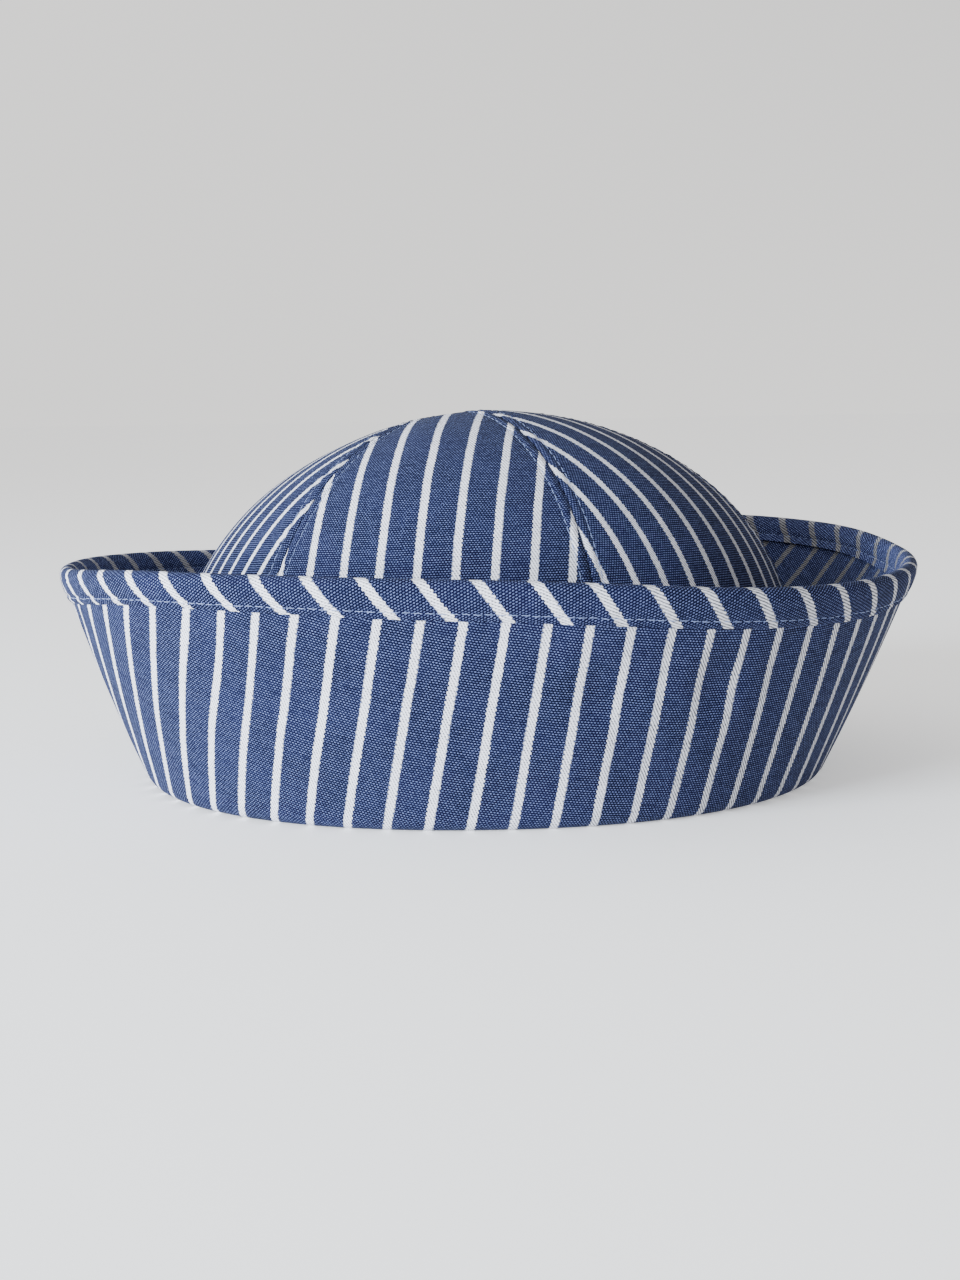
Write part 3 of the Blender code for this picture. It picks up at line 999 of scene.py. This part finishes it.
class CAP_OT_binding(Operator):
    """Makes the bias strip over the rim and the stitches along both its edges"""

    bl_idname = "sailor_cap.binding"
    bl_label = "Rim binding"

    def execute(self, context):
        sewing = context.scene.cap_sewing
        cloth = context.scene.cap_cloth
        middle = rim_middle()
        azimuth = BINDING_JOIN + 360 * np.arange(BINDING_COLUMNS + 1) / BINDING_COLUMNS
        section = BrimSection(azimuth)
        proud = BINDING_GAP + BINDING_CLOTH
        outside = section.slope(section.length - section.binding, section.layers_top, OUTSIDE_ROWS)
        inside = section.slope(section.layers_top, section.length - BINDING_INSIDE, INSIDE_ROWS)
        centre = section.wall(section.layers_top, LAYERS / 2)
        dip_outside = self.dip(outside - outside[:, :1], azimuth, sewing, EDGE_PRESSED)
        dip_inside = self.dip(inside - inside[:, -1:], azimuth + 7, sewing, -EDGE_LIFTED)

        def over_the_rim(stand_off, radius, outer, inner):
            up = section.wall(outside, outer - stand_off)
            arc = section.arc(centre, radius, -section.lean, pi - section.lean, RIM_ROWS)
            down = section.wall(inside, LAYERS + stand_off - inner)
            return np.concatenate([up[:, :-1], arc, down[:, 1:]], 1)

        line = over_the_rim(proud, BINDING_RADIUS, dip_outside, dip_inside)
        across = run_lengths(line)
        crest = OUTSIDE_ROWS - 1 + RIM_ROWS // 2
        over_crest = across - across[:, crest : crest + 1]
        lifted = np.minimum(dip_inside, 0)
        under = over_the_rim(BINDING_GAP, BINDING_RADIUS - BINDING_CLOTH, 0, lifted)
        face = round_the_cap(azimuth, line, middle)
        back = round_the_cap(azimuth, under, middle)
        edge = section.wall(section.length - STRIP_LINE, 0)
        rim = run_lengths(beside_foot(azimuth, edge[:, 0, 0], edge[:, 0, 1]))
        rim = rim - np.interp(360.0, azimuth, rim)
        give = np.where(rim < 0, BINDING_STRIP["give_left"], BINDING_STRIP["give_right"])
        rim = rim - give * rim**2
        bias = radians(BINDING_STRIP["bias"])
        climb = over_crest + STRIP_LEG - BINDING_RADIUS + BINDING_RADIUS * pi / 2
        stripes = (rim[:, None] * cos(bias) + climb * sin(bias)) / BINDING_STRIP["pitch"]
        stripes = stripes + BINDING_STRIP["first"]
        rise = climb * cos(bias) - rim[:, None] * sin(bias)
        flat = np.stack([stripes * cloth.stripe_pitch, rise], -1)
        # Painted shade on the binding, from just past the top of the rim to its inner edge.
        painted_shade_share = np.clip(over_crest[:-1] / INSIDE_FROM, 0, 1)
        material = striped_cloth(context)
        piece = cloth_piece("rim_binding_cloth", face, back, flat, True, material, painted_shade_share)
        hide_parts("rim_binding")
        normals = grid_normals(np.concatenate([face, face[:1]]))[:-1]
        runs = []
        inner_line = across[0, -1] - sewing.above_edge
        for from_edge, sunk in ((sewing.above_edge, 0.0), (inner_line, INNER_STITCHES_SUNK)):
            row = int(np.argmin(np.abs(across[0] - from_edge)))
            runs.append((face[:, row] - normals[:, row] * sunk, normals[:, row]))
        stitch_piece("binding_stitches", runs, context)
        return {"FINISHED"}

    def dip(self, from_edge, azimuth, sewing, pressed):
        """How far the strip lies below its usual face, near its edge and along its stitches."""
        away = np.abs(from_edge)
        turn = np.radians(azimuth)[:, None]
        rounded = ridge(away, pressed, 0, 0.0009)
        groove = ridge(away, 0.00034, sewing.above_edge, 0.00055)
        wave = np.sin(150 * turn + 3 * np.sin(13 * turn)) + 0.7 * np.sin(91 * turn + away * 900)
        puckers = wave * ridge(away, sewing.pucker * 0.7, 0.002, 0.0028)
        swell = -0.00030 * np.sin(np.clip(away / 0.0105, 0, 1) * pi)
        return rounded + groove + puckers + swell


def area_light(name, lay, power):
    data = bpy.data.lights.new(name, "AREA")
    data.shape = "SQUARE"
    data.size = lay["size"]
    data.energy = power
    data.color = lay["colour"]
    light = bpy.data.objects.new(name, data)
    light.location = lay["place"]
    aim = Vector(lay["target"]) - Vector(lay["place"])
    light.rotation_euler = aim.to_track_quat("-Z", "Y").to_euler()
    bpy.context.scene.collection.objects.link(light)


class CAP_OT_stage(Operator):
    """Lays the pale floor and sets the lights and the camera"""

    bl_idname = "sailor_cap.stage"
    bl_label = "Stage"

    def execute(self, context):
        stage = context.scene.cap_stage
        side = FLOOR_HALF_WIDTH
        corners = [(-side, -side, 0), (side, -side, 0), (side, side, 0), (-side, side, 0)]
        mesh = bpy.data.meshes.new("floor")
        mesh.from_pydata(corners, [], [(0, 1, 2, 3)])
        nodes = NodeMaker("pale_floor")
        nodes.shader.inputs["Base Color"].default_value = (*stage.floor, 1.0)
        nodes.shader.inputs["Roughness"].default_value = 0.95
        nodes.shader.inputs["Emission Color"].default_value = (1.0, 1.0, 1.0, 1.0)
        nodes.shader.inputs["Emission Strength"].default_value = stage.floor_glow
        mesh.materials.append(nodes.material)
        floor = bpy.data.objects.new("floor", mesh)
        context.scene.collection.objects.link(floor)

        world = bpy.data.worlds.new("studio")
        world.use_nodes = True
        background = world.node_tree.nodes["Background"]
        background.inputs["Color"].default_value = SKY_COLOUR
        self.light_the_sky(world, background, stage)
        context.scene.world = world
        area_light("key_light", KEY_LIGHT, stage.key_power)
        area_light("top_light", TOP_LIGHT, stage.top_power)

        camera = bpy.data.objects.new("camera", bpy.data.cameras.new("camera"))
        camera.data.lens = stage.lens
        camera.data.sensor_width = 36.0
        camera.data.clip_start = 0.01
        camera.data.dof.use_dof = False
        place = Matrix.Translation(CAMERA_PLACE)
        down = Matrix.Rotation(pi / 2 - CAMERA_DOWN, 4, "X")
        camera.matrix_world = place @ down @ Matrix.Rotation(CAMERA_ROLL, 4, "Z")
        context.scene.collection.objects.link(camera)
        context.scene.camera = camera
        return {"FINISHED"}

    def light_the_sky(self, world, background, stage):
        """Light from all round, brightest at the horizon, and above it brighter on the left."""
        tree = world.node_tree

        def step(kind, operation, first, second):
            node = tree.nodes.new(kind)
            node.operation = operation
            for value, socket in zip((first, second), node.inputs):
                if isinstance(value, bpy.types.NodeSocket):
                    tree.links.new(value, socket)
                else:
                    socket.default_value = value
            return node

        direction = tree.nodes.new("ShaderNodeTexCoord").outputs["Generated"]
        parts = tree.nodes.new("ShaderNodeSeparateXYZ")
        tree.links.new(direction, parts.inputs[0])
        slope = step("ShaderNodeVectorMath", "DOT_PRODUCT", direction, (*SKY_SLOPE, 0.0))
        slope = slope.outputs["Value"]
        band = tree.nodes.new("ShaderNodeMapRange")
        tree.links.new(parts.outputs[2], band.inputs[0])
        band.inputs[2].default_value = SKY_BAND
        slope = step("ShaderNodeMath", "MULTIPLY", slope, band.outputs[0]).outputs[0]
        fall = step("ShaderNodeMath", "MULTIPLY", parts.outputs[2], SKY_FALL).outputs[0]
        change = step("ShaderNodeMath", "SUBTRACT", slope, fall).outputs[0]
        strength = step("ShaderNodeMath", "ADD", change, stage.sky).outputs[0]
        strength = step("ShaderNodeMath", "MAXIMUM", strength, SKY_LEAST).outputs[0]
        tree.links.new(strength, background.inputs["Strength"])


class CAP_PT_sidebar(Panel):
    """Lists the steps that dress the cap"""

    bl_idname = "CAP_PT_sidebar"
    bl_label = "Sailor cap"
    bl_space_type = "VIEW_3D"
    bl_region_type = "UI"
    bl_category = "Sailor cap"

    def draw(self, context):
        for step in STEPS:
            self.layout.operator(step.bl_idname)
        for group in ("cap_cloth", "cap_sewing", "cap_stage"):
            settings = getattr(context.scene, group)
            box = self.layout.box()
            for name in settings.__annotations__:
                box.prop(settings, name)


STEPS = (CAP_OT_crown, CAP_OT_brim, CAP_OT_binding, CAP_OT_stage)
GROUPS = {"cap_cloth": ClothSettings, "cap_sewing": SewingSettings, "cap_stage": StageSettings}


def register():
    for shown in (*GROUPS.values(), *STEPS, CAP_PT_sidebar):
        bpy.utils.register_class(shown)
    for name, group in GROUPS.items():
        setattr(bpy.types.Scene, name, PointerProperty(type=group))


def unregister():
    for name in GROUPS:
        delattr(bpy.types.Scene, name)
    for shown in reversed((*GROUPS.values(), *STEPS, CAP_PT_sidebar)):
        bpy.utils.unregister_class(shown)


def main():
    register()
    bpy.ops.sailor_cap.crown()
    bpy.ops.sailor_cap.brim()
    bpy.ops.sailor_cap.binding()
    bpy.ops.sailor_cap.stage()


if __name__ == "__main__":
    main()
